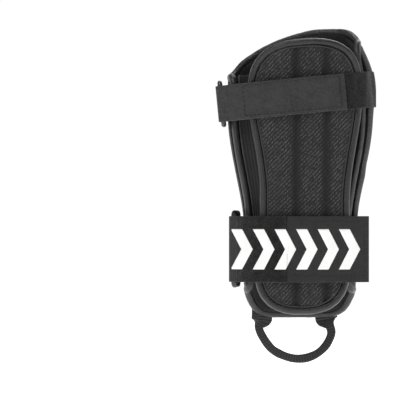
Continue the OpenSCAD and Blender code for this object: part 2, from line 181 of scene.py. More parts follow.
# ---------------------------------------------------------------- mesh helpers
def make(name, points, faces, uvs=None, closed=True):
    """Object from points in mm, faces and one (u, v) in mm for each point."""
    mesh = bpy.data.meshes.new(name)
    mesh.from_pydata([tuple(p) for p in np.asarray(points) * MM], [], [tuple(int(i) for i in f) for f in faces])
    if uvs is not None:
        layer = mesh.uv_layers.new(name="surf")
        loops = np.zeros(len(mesh.loops), int)
        mesh.loops.foreach_get("vertex_index", loops)
        layer.data.foreach_set("uv", np.asarray(uvs, float)[loops].ravel())
    mesh.polygons.foreach_set("use_smooth", [True] * len(mesh.polygons))
    mesh.validate()
    mesh.update()
    if closed:
        turned = bmesh.new()
        turned.from_mesh(mesh)
        bmesh.ops.recalc_face_normals(turned, faces=turned.faces)
        turned.to_mesh(mesh)
        turned.free()
    obj = bpy.data.objects.new(name, mesh)
    bpy.context.scene.collection.objects.link(obj)
    return obj


def grid_faces(rows, cols, wrap_rows=False, wrap_cols=False, start=0, flip=False):
    faces = []
    for i in range(rows if wrap_rows else rows - 1):
        for j in range(cols if wrap_cols else cols - 1):
            a, b = i * cols + j, i * cols + (j + 1) % cols
            c, d = ((i + 1) % rows) * cols + (j + 1) % cols, ((i + 1) % rows) * cols + j
            quad = [start + a, start + b, start + c, start + d]
            faces.append(quad[::-1] if flip else quad)
    return faces


def slab(name, top, bottom, uv_top):
    """Closed body between two grids (rows, cols, 3); top faces out."""
    rows, cols = top.shape[:2]
    n = rows * cols
    rim = list(range(cols)) + [i * cols + cols - 1 for i in range(1, rows)]
    rim += [(rows - 1) * cols + j for j in range(cols - 2, -1, -1)] + [i * cols for i in range(rows - 2, 0, -1)]
    faces = grid_faces(rows, cols) + grid_faces(rows, cols, start=n, flip=True)
    faces += [(p, n + p, n + q, q) for p, q in zip(rim, rim[1:] + rim[:1])]
    points = np.concatenate([top.reshape(-1, 3), bottom.reshape(-1, 3)])
    uvs = np.concatenate([uv_top.reshape(-1, 2)] * 2)
    return make(name, points, faces, uvs)


def along(points):
    """Distance along a line of points, in mm."""
    steps = np.linalg.norm(np.diff(points, axis=0), axis=1)
    return np.concatenate([[0], np.cumsum(steps)])


def sweep(name, points, outward, profile, closed=False, round_ends=True):
    """Bar along points. profile(t) gives (cols, 2): how far each corner lies outward and sideways, for t in mm."""
    points, outward = np.asarray(points, float), np.asarray(outward, float)
    n = len(points)
    ahead = np.roll(points, -1, 0) if closed else np.vstack([points[1:], points[-1:]])
    behind = np.roll(points, 1, 0) if closed else np.vstack([points[:1], points[:-1]])
    t = ahead - behind
    t /= np.linalg.norm(t, axis=1)[:, None]
    o = outward - t * np.sum(outward * t, 1)[:, None]
    o /= np.linalg.norm(o, axis=1)[:, None]
    side = np.cross(t, o)
    dist = along(points)
    rings, uvs = [], []
    for i in range(n):
        prof = np.asarray(profile(dist[i]), float)
        rings.append(points[i] + prof[:, :1] * o[i] + prof[:, 1:] * side[i])
        girth = along(np.vstack([prof, prof[:1]]))[:-1]
        uvs.append(np.stack([girth, np.full(len(prof), dist[i])], -1))
    cols = len(rings[0])
    faces = grid_faces(n, cols, wrap_rows=closed, wrap_cols=True)
    if not closed and round_ends:
        extra_points, extra_uvs = [], []
        for end, direction in ((0, -1), (n - 1, 1)):
            centre = rings[end].mean(0)
            reach = np.linalg.norm(rings[end] - centre, axis=1).min()
            start = n * cols + len(extra_points)
            last = end * cols
            for shrink, push in ((0.86, 0.55), (0.5, 0.9)):
                ring = centre + (rings[end] - centre) * shrink + t[end] * direction * reach * push
                base = n * cols + len(extra_points)
                extra_points += list(ring)
                extra_uvs += list(uvs[end])
                faces += join(last, base, cols, direction > 0)
                last = base
            tip = n * cols + len(extra_points)
            extra_points.append(centre + t[end] * direction * reach)
            extra_uvs.append(uvs[end][0])
            for k in range(cols):
                tri = (last + k, last + (k + 1) % cols, tip)
                faces.append(tri if direction > 0 else tri[::-1])
        all_points = np.vstack([np.vstack(rings), extra_points])
        all_uvs = np.vstack([np.vstack(uvs), extra_uvs])
    else:
        all_points, all_uvs = np.vstack(rings), np.vstack(uvs)
    return make(name, all_points, faces, all_uvs)


def join(first, second, cols, forward):
    quads = [(first + k, first + (k + 1) % cols, second + (k + 1) % cols, second + k) for k in range(cols)]
    return quads if forward else [q[::-1] for q in quads]


def oval(r_out, r_side, n=16, power=1.0):
    w = 2 * np.pi * np.arange(n) / n
    return np.stack([r_out * spow(np.cos(w), power), r_side * spow(np.sin(w), power)], -1)


def apply_modifiers(obj):
    bpy.context.view_layer.update()
    evaluated = obj.evaluated_get(bpy.context.evaluated_depsgraph_get())
    mesh = bpy.data.meshes.new_from_object(evaluated)
    old = obj.data
    obj.modifiers.clear()
    obj.data = mesh
    bpy.data.meshes.remove(old)
    mesh.polygons.foreach_set("use_smooth", [True] * len(mesh.polygons))
    return obj


def subdivide(obj):
    modifier = obj.modifiers.new("smooth", "SUBSURF")
    modifier.levels = modifier.render_levels = 1
    return apply_modifiers(obj)


def solidify(obj, thickness):
    modifier = obj.modifiers.new("thickness", "SOLIDIFY")
    modifier.thickness = thickness * MM
    modifier.offset = -1
    return apply_modifiers(obj)


def inflate(obj, pinned, pressure, cap):
    """Cloth simulation under inner pressure; pinned is one weight for each point, cap the most it may move (mm)."""
    start = np.array([v.co for v in obj.data.vertices])
    group = obj.vertex_groups.new(name="pin")
    for i, weight in enumerate(pinned):
        if weight > 0:
            group.add([i], float(min(1, weight)), "REPLACE")
    modifier = obj.modifiers.new("cloth", "CLOTH")
    settings = modifier.settings
    settings.quality = 6
    settings.mass = 0.3
    settings.tension_stiffness = settings.compression_stiffness = 12
    settings.shear_stiffness = 6
    settings.bending_stiffness = 0.3
    settings.use_pressure = True
    settings.uniform_pressure_force = pressure
    settings.vertex_group_mass = "pin"
    settings.effector_weights.gravity = 0
    modifier.collision_settings.use_collision = False
    scene = bpy.context.scene
    for f in range(1, 21):
        scene.frame_set(f)
    evaluated = obj.evaluated_get(bpy.context.evaluated_depsgraph_get())
    moved = np.array([v.co for v in evaluated.data.vertices]) - start
    length = np.linalg.norm(moved, axis=1)
    limit = cap * MM
    scale = np.where(length > 1e-9, limit * np.tanh(length / limit) / np.maximum(length, 1e-9), 0)
    obj.modifiers.clear()
    obj.vertex_groups.clear()
    final = start + moved * scale[:, None]
    obj.data.vertices.foreach_set("co", final.ravel())
    obj.data.update()
    scene.frame_set(1)
    return obj


# ---------------------------------------------------------------- materials
class Graph:
    """Short-hand for building a material's node tree."""

    def __init__(self, name):
        self.material = bpy.data.materials.new(name)
        self.material.use_nodes = True
        self.tree = self.material.node_tree
        self.shader = self.tree.nodes["Principled BSDF"]

    def node(self, kind, **values):
        node = self.tree.nodes.new(kind)
        for key, value in values.items():
            setattr(node, key, value)
        return node

    def link(self, source, target):
        self.tree.links.new(source, target)

    def put(self, value, socket):
        if isinstance(value, bpy.types.NodeSocket):
            self.link(value, socket)
        else:
            socket.default_value = value

    def math(self, operation, a, b=0.0, c=0.0):
        node = self.node("ShaderNodeMath", operation=operation)
        for value, socket in zip((a, b, c), node.inputs):
            self.put(value, socket)
        return node.outputs[0]

    def add(self, a, b):
        return self.math("ADD", a, b)

    def sub(self, a, b):
        return self.math("SUBTRACT", a, b)

    def mul(self, a, b):
        return self.math("MULTIPLY", a, b)

    def div(self, a, b):
        return self.math("DIVIDE", a, b)

    def wave(self, x, humps=1.0):
        """Rises from 0 to 1 and back, so many times for each unit of x."""
        return self.math("ABSOLUTE", self.math("SINE", self.mul(x, math.pi * humps)))

    def surface(self, scale=1.0):
        """u and v along the surface, in units of scale mm."""
        uv = self.node("ShaderNodeUVMap", uv_map="surf").outputs[0]
        split = self.node("ShaderNodeSeparateXYZ")
        self.link(uv, split.inputs[0])
        return self.div(split.outputs[0], scale), self.div(split.outputs[1], scale)

    def place(self, scale=1.0):
        """Object coordinates in units of scale mm."""
        coords = self.node("ShaderNodeTexCoord").outputs["Object"]
        mapping = self.node("ShaderNodeMapping")
        self.link(coords, mapping.inputs[0])
        mapping.inputs["Scale"].default_value = [1 / (scale * MM)] * 3
        return mapping.outputs[0]

    def noise(self, scale_mm, detail=3.0, rough=0.5):
        node = self.node("ShaderNodeTexNoise")
        self.link(self.place(scale_mm), node.inputs["Vector"])
        node.inputs["Scale"].default_value = 1.0
        node.inputs["Detail"].default_value = detail
        node.inputs["Roughness"].default_value = rough
        return node.outputs["Fac"]

    def ramp(self, factor, stops):
        node = self.node("ShaderNodeValToRGB")
        elements = node.color_ramp.elements
        while len(elements) < len(stops):
            elements.new(0.5)
        for element, (position, shade) in zip(elements, stops):
            element.position = position
            element.color = (*shade, 1) if hasattr(shade, "__len__") else (shade, shade, shade * 1.03, 1)
        self.link(factor, node.inputs[0])
        return node.outputs[0]

    def bump(self, height, distance_mm, strength):
        node = self.node("ShaderNodeBump")
        node.inputs["Strength"].default_value = strength
        node.inputs["Distance"].default_value = distance_mm * MM
        self.link(height, node.inputs["Height"])
        return node.outputs[0]

    def finish(self, colour, roughness, normal, **constants):
        self.put(colour, self.shader.inputs["Base Color"])
        self.put(roughness, self.shader.inputs["Roughness"])
        self.link(normal, self.shader.inputs["Normal"])
        for name, value in constants.items():
            self.shader.inputs[name.replace("_", " ")].default_value = value
        return self.material


def over_under(g, u, v):
    """Height of a twill weave: floats of warp over weft two yarns long, stepping by one yarn each row."""
    step = g.math("FRACT", g.div(g.add(g.math("FLOOR", u), g.math("FLOOR", v)), 4.0))
    warp_on_top = g.math("LESS_THAN", step, 0.5)
    across_warp = g.wave(u)
    across_weft = g.wave(v)
    warp = g.mul(across_warp, warp_on_top)
    weft = g.mul(across_weft, g.sub(1.0, warp_on_top))
    return g.add(warp, g.mul(weft, 0.62))


def fleck(g, u, v):
    """One random number for each crossing of yarns."""
    cell = g.node("ShaderNodeCombineXYZ")
    g.link(g.math("FLOOR", u), cell.inputs[0])
    g.link(g.math("FLOOR", v), cell.inputs[1])
    white = g.node("ShaderNodeTexWhiteNoise", noise_dimensions="2D")
    g.link(cell.outputs[0], white.inputs["Vector"])
    return white.outputs["Value"]


def weave_material(name, yarn, light, painted_valley_shade=(), painted_seam_shade=False):
    """Coarse twill. The valley places (mm along u) are where the cloth is drawn in, and the colour is darkened there
    as painted shade.
    The seam flag darkens the colour by the mesh's own seam attribute, which is 1 along its seams: painted shade in
    the seam grooves."""
    g = Graph(name)
    u, v = g.surface(yarn)
    height = over_under(g, u, v)
    lit = g.mul(g.math("POWER", height, 1.6), g.add(0.3, fleck(g, u, v)))
    tone = g.mul(lit, g.add(0.6, g.mul(g.noise(22, 3), 0.8)))
    # Painted shade: the colour darkens along each channel valley, where shade falls.
    for middle in painted_valley_shade:
        away = g.div(g.sub(g.surface(1.0)[0], middle), 3.4)
        shade = g.div(0.55, g.add(1.0, g.math("POWER", away, 4.0)))
        tone = g.mul(tone, g.sub(1.0, shade))
    # Painted shade: the colour darkens along the mesh's seams, where shade falls in the grooves.
    if painted_seam_shade:
        seam_press_and_shade = g.node("ShaderNodeAttribute", attribute_name="seam_press_and_shade").outputs["Fac"]
        tone = g.mul(tone, g.sub(1.0, g.mul(seam_press_and_shade, 0.75)))
    colour = g.ramp(tone, [(0.03, 0.002), (0.45, 0.011), (1.0, light)])
    bump = g.bump(g.add(height, g.mul(g.noise(0.5), 0.3)), 0.3, 1.0)
    rough = g.sub(0.8, g.mul(height, 0.3))
    return g.finish(colour, rough, bump, Sheen_Weight=0.1, Sheen_Roughness=0.5, Specular_IOR_Level=0.4)


def rib_material(name, period, dark, light):
    """Ribbed stretch mesh: upright ribs with fine rungs between them."""
    g = Graph(name)
    u, v = g.surface(period)
    rib = g.wave(u)
    rung = g.wave(v, 1.6)
    height = g.add(g.mul(rib, 0.75), g.mul(rung, 0.3))
    tone = g.mul(height, g.add(0.6, g.mul(g.noise(9, 3), 0.8)))
    colour = g.ramp(tone, [(0.1, dark), (0.9, light)])
    return g.finish(colour, 0.9, g.bump(height, 0.35, 0.9), Sheen_Weight=0.2, Specular_IOR_Level=0.2)


def leather_material(name):
    """Fine grain with soft creases and worn patches."""
    g = Graph(name)
    cells = g.node("ShaderNodeTexVoronoi", feature="DISTANCE_TO_EDGE")
    g.link(g.place(1.1), cells.inputs["Vector"])
    cells.inputs["Scale"].default_value = 1.0
    grain = g.math("MINIMUM", g.mul(cells.outputs["Distance"], 4.0), 1.0)
    crease = g.noise(4.5, 4, 0.65)
    wear = g.noise(16, 3)
    tone = g.add(g.mul(grain, 0.3), g.mul(wear, 0.8))
    colour = g.ramp(tone, [(0.3, 0.002), (0.85, 0.017)])
    height = g.add(g.mul(grain, 0.25), g.mul(crease, 1.4))
    rough = g.add(0.22, g.mul(crease, 0.22))
    sheen = {"Specular_IOR_Level": 0.48, "Coat_Weight": 0.22, "Coat_Roughness": 0.25}
    return g.finish(colour, rough, g.bump(height, 0.5, 0.8), **sheen)


def pile_material(name):
    """Matted loops in soft clumps."""
    g = Graph(name)
    fuzz = g.noise(0.9, 5, 0.8)
    clump = g.noise(4.5, 3, 0.6)
    tone = g.add(g.mul(fuzz, 0.8), g.mul(clump, 0.3))
    colour = g.ramp(tone, [(0.42, 0.001), (0.75, 0.036)])
    sheen = {"Sheen_Weight": 0.2, "Sheen_Roughness": 0.5, "Specular_IOR_Level": 0.1}
    return g.finish(colour, 0.95, g.bump(tone, 1.2, 1.0), **sheen)


def webbing_material(name, rib, light):
    """Woven strap: short ribs along its length, in rows that lean one way and then the other."""
    g = Graph(name)
    u, v = g.surface(rib)
    lean = g.math("PINGPONG", v, 2.0)
    wave = g.wave(g.add(u, lean))
    yarn = g.wave(v, 1.5)
    height = g.add(g.mul(wave, 0.65), g.mul(yarn, 0.35))
    patchy = g.add(0.35, g.mul(fleck(g, u, v), 0.35))
    tone = g.mul(height, g.add(patchy, g.mul(g.noise(8, 4), 0.8)))
    colour = g.ramp(tone, [(0.1, 0.003), (0.95, light)])
    return g.finish(colour, 0.75, g.bump(height, 0.25, 0.9), Sheen_Weight=0.15, Specular_IOR_Level=0.35)


def loop_material(name, rib=2.1):
    """Webbing ribbed across, whose yarns step aside from rib to rib."""
    g = Graph(name)
    u, v = g.surface(1.0)
    step = g.mul(g.math("FLOOR", g.div(v, rib)), 0.4)
    height = g.add(g.mul(g.wave(v, 1 / rib), 0.72), g.mul(g.wave(g.add(u, step), 1.25), 0.28))
    tone = g.mul(height, g.add(0.65, g.mul(g.noise(4, 4), 0.7)))
    colour = g.ramp(tone, [(0.15, 0.003), (0.95, 0.038)])
    return g.finish(colour, 0.75, g.bump(height, 0.4, 0.9), Sheen_Weight=0.2, Specular_IOR_Level=0.35)


def gloss_material(name, shade, roughness, grain_mm, coat):
    g = Graph(name)
    mottle = g.noise(grain_mm, 3)
    colour = g.ramp(mottle, [(0.2, shade * 0.8), (0.8, shade * 1.3)])
    rough = g.add(roughness - 0.04, g.mul(mottle, 0.1))
    return g.finish(colour, rough, g.bump(mottle, 0.05, 0.4), Coat_Weight=coat, Coat_Roughness=0.12)


def hook_material(name):
    g = Graph(name)
    dots = g.node("ShaderNodeTexVoronoi", feature="F1")
    g.link(g.place(1.1), dots.inputs["Vector"])
    dots.inputs["Scale"].default_value = 1.0
    dots.inputs["Randomness"].default_value = 0.25
    height = g.sub(1.0, dots.outputs["Distance"])
    colour = g.ramp(height, [(0.3, 0.006), (0.95, 0.05)])
    return g.finish(colour, 0.55, g.bump(height, 0.7, 1.0))


def thread_material(name, dark, light):
    g = Graph(name)
    twist = g.noise(0.35, 2)
    colour = g.ramp(twist, [(0.3, dark), (0.75, light)])
    return g.finish(colour, 0.7, g.bump(twist, 0.12, 0.8), Sheen_Weight=0.2)


def print_material(name):
    """White flexible print over woven tape."""
    g = Graph(name)
    grain = g.noise(0.9, 3)
    colour = g.ramp(g.noise(7, 3), [(0.2, (0.86, 0.86, 0.85)), (0.8, (0.95, 0.95, 0.94))])
    return g.finish(colour, g.add(0.45, g.mul(grain, 0.2)), g.bump(grain, 0.1, 0.5))


def floor_material(name):
    g = Graph(name)
    paper = g.noise(4, 4)
    colour = g.ramp(paper, [(0.2, (0.93, 0.93, 0.93)), (0.8, (0.96, 0.96, 0.96))])
    glow = {"Emission_Color": (1, 1, 1, 1), "Emission_Strength": 0.8}
    return g.finish(colour, 0.9, g.bump(paper, 0.05, 0.2), **glow)


MAT = {
    "palm_weave": weave_material("palm_weave", 0.66, 0.1),
    # The palm shell's cloth gets painted shade along its seams round the heel pad and beside the stays.
    "shell_weave": weave_material("shell_weave", 0.66, 0.1, painted_seam_shade=True),
    # The back panel's cloth gets painted shade along its two sewn channels.
    "panel": weave_material("panel_weave", 0.82, 0.12, painted_valley_shade=[-x for x in CHANNEL_X]),
    "rib": rib_material("ribbed_mesh", 2.0, 0.002, 0.02),
    "lining": rib_material("lining_mesh", 2.2, 0.005, 0.022),
    "leather": leather_material("leather_tape"),
    "pile": pile_material("loop_pile"),
    "webbing": webbing_material("strap_webbing", 1.5, 0.045),
    "lower_webbing": webbing_material("strap_webbing_smooth", 1.2, 0.026),
    "loop_webbing": loop_material("loop_webbing"),
    "ring": gloss_material("ring_plastic", 0.012, 0.22, 1.5, 0.4),
    "splint": gloss_material("splint_plastic", 0.02, 0.45, 2.5, 0.0),
    "hook": hook_material("hook_tape"),
    "thread": thread_material("seam_thread", 0.012, 0.07),
    "thread_dark": thread_material("strap_thread", 0.001, 0.006),
    "print": print_material("white_print"),
}


def dress(obj, material, body, slot, *stands_for):
    obj.data.materials.clear()
    obj.data.materials.append(MAT[material])
    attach(obj, body)
    if stands_for:
        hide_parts(*stands_for)
    return obj


# ---------------------------------------------------------------- threads
def stitches(name, line, normals, body, slot, length=2.2, gap=1.2, r=0.26, material="thread"):
    """Row of short threads laid along a line of points (mm), each lying on the surface."""
    line, normals = np.asarray(line, float), np.asarray(normals, float)
    dist = along(line)
    points, faces, uvs = [], [], []
    start = 0.0
    while start + length < dist[-1]:
        marks = start + length * np.array([0, 0.12, 0.5, 0.88, 1.0])
        spine = np.stack([np.interp(marks, dist, line[:, k]) for k in range(3)], -1)
        up = np.stack([np.interp(marks, dist, normals[:, k]) for k in range(3)], -1)
        up /= np.linalg.norm(up, axis=1)[:, None]
        ahead = spine[-1] - spine[0]
        ahead /= np.linalg.norm(ahead)
        base = len(points)
        for k, (size, lift) in enumerate(zip((0.25, 0.8, 1, 0.8, 0.25), (-0.9, -0.1, 0.25, -0.1, -0.9))):
            side = np.cross(ahead, up[k])
            for j in range(6):
                w = j * math.pi / 3
                points.append(spine[k] + up[k] * r * (lift + size * math.cos(w)) + side * r * size * math.sin(w))
                uvs.append((j, marks[k]))
        for k in range(4):
            faces += join(base + 6 * k, base + 6 * k + 6, 6, False)
        faces.append([base + j for j in range(6)])
        faces.append([base + 24 + j for j in range(5, -1, -1)])
        start += length + gap
    return dress(make(name, points, faces, uvs), material, body, slot)


# ---------------------------------------------------------------- sleeve
def sleeve_grid(inset, cols, rows):
    a = np.linspace(THUMB_EDGE_A + inset, PINKY_EDGE_A - inset, cols)[None, :]
    v = np.linspace(0, 1, rows)[:, None]
    low, high = edge_hem(a) - 1.6, edge_top(a) - 1.2
    return a + 0 * v, low + (high - low) * v


def open_thumb_hole(a, z, grow):
    """Moves grid points near the thumb hole onto its rim and says which points lie inside it."""
    rho = np.hypot((a - THUMB_A) / (THUMB_HALF_A + grow * 1.35), (z - THUMB_Z) / (THUMB_HALF_Z + grow))
    near = (rho > 0.9) & (rho < 1.06)
    scale = np.where(near, 1 / rho, 1)
    return THUMB_A + (a - THUMB_A) * scale, THUMB_Z + (z - THUMB_Z) * scale, rho <= 0.9


def pad_lift(a, z):
    """The heel pad's upper edge swells toward the thumb and dips toward the little finger."""
    u = (a - PAD_A) / PAD_HALF_A
    swell, dip = np.exp(-(((u + 0.5) / 0.4) ** 2)), np.exp(-(((u - 0.3) / 0.4) ** 2))
    return smooth01((z - 160) / 24) * (3 * swell - 5 * dip)


def seam_press_and_shade(a, z):
    """1 in the seams round the heel pad and along the stay channels, falling to 0 beside them. It draws the shell in
    and holds it there, and the shell's material also darkens by it as painted shade in the seams.
    """
    across, up = (a - PAD_A) / (PAD_HALF_A + 1), (z - pad_lift(a, z) - PAD_Z) / (PAD_HALF_Z + 1)
    pad = (np.abs(across) ** 3 + np.abs(up) ** 3) ** (1 / 3)
    seam = np.exp(-(((pad - 1.07) / 0.075) ** 2))
    x = skin(a, z, 0)[..., 0]
    palm = (a > 40) & (a < 140)
    for x0 in STAY_X:
        side = np.exp(-(((np.abs(x - x0) - 6.7) / 1.2) ** 2)) * ((z < STAY_Z1 - 2) & palm)
        end = np.exp(-(((z - STAY_Z1 - 1.5) / 1.6) ** 2)) * ((np.abs(x - x0) < 6.5) & palm)
        seam = np.maximum(seam, np.maximum(side, end))
    return seam


def sleeve_sheet(name, inset, d, cols, rows, grow, ripple, drawn_in=0.0):
    """Cloth of the sleeve, open at the thumb hole, with the angle, height and firmness of each of its points."""
    a, z, inside = open_thumb_hole(*sleeve_grid(inset, cols, rows), grow)
    shape = d + ripple * wobble(skin(a, z, 0).reshape(-1, 3), 46, 1).reshape(a.shape)
    points = skin(a, z, shape - drawn_in * seam_press_and_shade(a, z))
    faces = [f for f in grid_faces(rows, cols) if not inside.ravel()[f].any()]
    used = sorted({i for f in faces for i in f})
    index = {old: new for new, old in enumerate(used)}
    u = along(skin(a[0], 110.0, 0))
    uvs = np.stack([np.broadcast_to(u, a.shape), z], -1).reshape(-1, 2)[used]
    obj = make(name, points.reshape(-1, 3)[used], [[index[i] for i in f] for f in faces], uvs, closed=False)
    # The seam falloff is also stored on the mesh, for its material to paint shade in the seams.
    if drawn_in:
        seam = obj.data.attributes.new("seam_press_and_shade", "FLOAT", "POINT")
        seam.data.foreach_set("value", seam_press_and_shade(a, z).ravel()[used].astype(np.float32))
    rho = np.hypot((a - THUMB_A) / THUMB_HALF_A, (z - THUMB_Z) / THUMB_HALF_Z).ravel()[used]
    rows_at, cols_at = np.divmod(np.array(used), cols)
    rim = np.minimum.reduce([rows_at, rows - 1 - rows_at, cols_at, cols - 1 - cols_at]) < 2
    return obj, a.ravel()[used], z.ravel()[used], rim | (rho < 1.1)


def near_strap(z):
    """1 where the lower strap presses on the sleeve."""
    away = np.abs(z - LOWER_Z)
    return np.where(away < 30, np.clip(np.clip(1.3 - away / 28, 0, 1) * 4, 0, 1), 0.0)


def shell_pins(a, z, rim):
    """How firmly each point of the shell is held: at its edges, at its seams and under stays, pad and strap."""
    x = skin(a, z, 0)[:, 0]
    held = [np.where(rim, 1.0, 0.0), seam_press_and_shade(a, z), near_strap(z) * 0.8]
    pad_rho = np.hypot((a - PAD_A) / (PAD_HALF_A + 2), (z - PAD_Z) / (PAD_HALF_Z + 2))
    held.append(np.where(pad_rho < 1, 0.9, 0))
    for x0 in STAY_X:
        held.append(np.where((np.abs(x - x0) < 6.5) & (a > 40) & (a < 140) & (z < STAY_Z1), 1, 0) * 0.9)
    return np.maximum.reduce(held)


shell, *shell_at = sleeve_sheet("palm_shell_cloth", 7.5, 0.0, 140, 112, -0.5, 0.3, 0.9)
pins = shell_pins(*shell_at)
inflate(shell, pins, 6.0, 1.1)
subdivide(shell)
solidify(shell, SHELL_T - 0.5)
dress(shell, "shell_weave", "sleeve", "ballistic_weave", "palm_shell")

lining, *_ = sleeve_sheet("sleeve_lining", 8, -SHELL_T - 0.25, 80, 60, -0.5, 0.0)
solidify(lining, 0.8)
dress(lining, "lining", "sleeve", "mesh_lining", "shell_lining")


def stay_channel(k, x0):
    """Padded channel over one stay, with a round top."""
    rows, cols = 70, 15
    v = np.linspace(0, 1, rows)[:, None]
    s = np.linspace(-1, 1, cols)[None, :]
    end = np.sqrt(1 - np.clip(v * 18 - 17, 0, 1) ** 2 * 0.97)
    z = STAY_Z0 + (STAY_Z1 - STAY_Z0) * v
    x = x0 + s * 5.6 * end
    round_top = np.clip((1 - v) * 22, 0.1, 1) ** 0.6
    crest = 0.25 + 2.15 * (1 - np.abs(s) ** 3.2) * round_top * np.clip(v * 40 + 0.3, 0, 1)
    flat = np.stack([x, 0 * x, z + 0 * s], -1)
    crest = crest + 0.16 * wobble(flat.reshape(-1, 3), 13, 3 + k).reshape(rows, cols) * (1 - s**2)
    top = palm_point(x, z + 0 * s, crest)
    bottom = palm_point(x, z + 0 * s, 0 * x - 0.3)
    uv = np.stack([x + 3 + 0 * z, z + 0 * x], -1)
    obj = slab(f"stay_channel_{k + 1}", top[:, ::-1], bottom[:, ::-1], uv[:, ::-1])
    return dress(obj, "palm_weave", "sleeve", "ballistic_weave", "palm_stay_covers")


for k, x0 in enumerate(STAY_X):
    stay_channel(k, x0)
    for side, word in ((-1, "left"), (1, "right")):
        zs = np.linspace(STAY_Z0 + 1, STAY_Z1 - 4, 60)
        xs = np.full(60, x0 + side * 6.6)
        normal = palm_point(xs, zs, SEAM_NORMAL) - palm_point(xs, zs, 0)
        stitches(f"stay_seam_{k + 1}_{word}", palm_point(xs, zs, 0.05), normal, "sleeve", "ballistic_weave", r=0.24)


def pad_span(v):
    """How much of its half width the heel pad has at height v, from 0 to 1."""
    return 0.3 + 0.7 * (1 - np.abs(2 * v - 1) ** 3.2) ** (1 / 2.8)


def heel_pad():
    """Stuffed pad over the heel of the hand."""
    n = 44
    v = (1 - np.cos(np.pi * np.linspace(0, 1, n)))[:, None] / 2
    u = -np.cos(np.pi * np.linspace(0, 1, n))[None, :]
    a = PAD_A + u * PAD_HALF_A * pad_span(v)
    z = PAD_Z + (2 * v - 1) * PAD_HALF_Z + 0 * u
    z = z + pad_lift(a, z)
    dome = (1 - np.abs(u) ** 4) * (1 - np.abs(2 * v - 1) ** 5)
    top = skin(a, z, -0.4 + 4.2 * dome**0.8)
    uv = np.stack([-skin(a, z, 0)[..., 0] * 1.1, z], -1)
    obj = slab("heel_pad", top[::-1], skin(a, z, -0.9)[::-1], uv[::-1])
    edge = np.maximum(np.abs(u) + 0 * v, np.abs(2 * v - 1) + 0 * u)[::-1].ravel()
    inflate(obj, np.concatenate([np.where(edge > 0.985, 1.0, 0.0), np.ones(n * n)]), 14.0, 0.9)
    subdivide(obj)
    return dress(obj, "palm_weave", "sleeve", "ballistic_weave", "hypothenar_pad")


heel_pad()
rim_v = (1 - np.cos(np.linspace(0, np.pi, 70))) / 2
for k, side in enumerate((-1, 1)):
    seam_a = PAD_A + side * (PAD_HALF_A * pad_span(rim_v) + 1.6)
    seam_z = PAD_Z + (2 * rim_v - 1) * (PAD_HALF_Z + 1.4)
    seam_z = seam_z + pad_lift(seam_a, seam_z)
    normal = skin(seam_a, seam_z, SEAM_NORMAL) - skin(seam_a, seam_z, 0)
    stitches(f"heel_pad_seam_{k + 1}", skin(seam_a, seam_z, -0.1), normal, "sleeve", "ballistic_weave")


# ---------------------------------------------------------------- leather tape and edges
def tape(name, points, outward, r_out, r_side, seed, wrinkle, *stands_for):
    """Leather folded over an edge all round: flattened section with small wrinkles."""
    section = oval(r_out, r_side, 20, 0.82)
    dist = along(points)
    noise = wobble(np.stack([dist, 0 * dist, 0 * dist], -1), 9, seed)
    fine = wobble(np.stack([dist, 0 * dist, 0 * dist + 5], -1), 4, seed + 50)

    def profile(t):
        n = np.interp(t, dist, noise) * wrinkle + np.interp(t, dist, fine) * wrinkle * 0.5
        return section * (1 - wrinkle + n)

    return dress(sweep(name, points, outward, profile, True), "leather", "sleeve", "leather_tape", *stands_for)


def resample(points, outward, step, closed=False):
    """The same line and its outward directions at even steps."""
    points, outward = np.asarray(points, float), np.asarray(outward, float)
    if closed:
        points, outward = np.vstack([points, points[:1]]), np.vstack([outward, outward[:1]])
    dist = along(points)
    marks = np.linspace(0, dist[-1], max(8, int(dist[-1] / step)) + 1)
    if closed:
        marks = marks[:-1]
    return [np.stack([np.interp(marks, dist, p[:, k]) for k in range(3)], -1) for p in (points, outward)]


def sleeve_edge():
    """(angle, height) all the way round the sleeve's edge: top, thumb side, hem, little-finger side."""
    ease = (1 - np.cos(np.pi * np.linspace(0, 1, 200))) / 2
    across = PINKY_EDGE_A + (THUMB_EDGE_A - PINKY_EDGE_A) * ease
    top = np.stack([across, edge_top(across) + 0.1], -1)
    hem = np.stack([across[::-1], edge_hem(across[::-1]) - BINDING_R], -1)
    thumb_z = np.linspace(top[-1, 1], hem[0, 1], 90)[1:-1]
    pinky_z = np.linspace(hem[-1, 1], top[0, 1], 90)[1:-1]
    thumb = np.stack([np.full(88, THUMB_EDGE_A), thumb_z], -1)
    pinky = np.stack([np.full(88, PINKY_EDGE_A), pinky_z], -1)
    return np.concatenate([top, thumb, hem, pinky])


edge_depth = -SHELL_T / 2 - 0.3
edge_a, edge_z = sleeve_edge().T
line = skin(edge_a, edge_z, edge_depth)
line, out = resample(line, skin(edge_a, edge_z, edge_depth + 5) - line, 1.25, True)
tape(
    "sleeve_edge_tape", line, out, BINDING_R, BINDING_R + 0.2, 1, 0.05,
    "top_binding", "hem_binding", "pinky_edge_binding", "thumb_edge_binding",
)
seam_a = np.linspace(PINKY_EDGE_A - 13, THUMB_EDGE_A + 18, 160)
for name, seam_z, level in (("top_edge_seam", top_z(seam_a) - 3.9, 200), ("hem_seam", hem_z(seam_a) + 1.4, 20)):
    normal = skin(seam_a, level, SEAM_NORMAL) - skin(seam_a, level, 0)
    line = skin(seam_a, seam_z, 0.02)
    stitches(name, line, normal, "sleeve", "leather_tape", r=0.22, material="thread_dark")

ring_w = np.linspace(0, 1, 181)[:-1]
hole_line = thumb_ring(ring_w, 0, -SHELL_T / 2)
hole_out = thumb_ring(ring_w, 0, 3) - hole_line
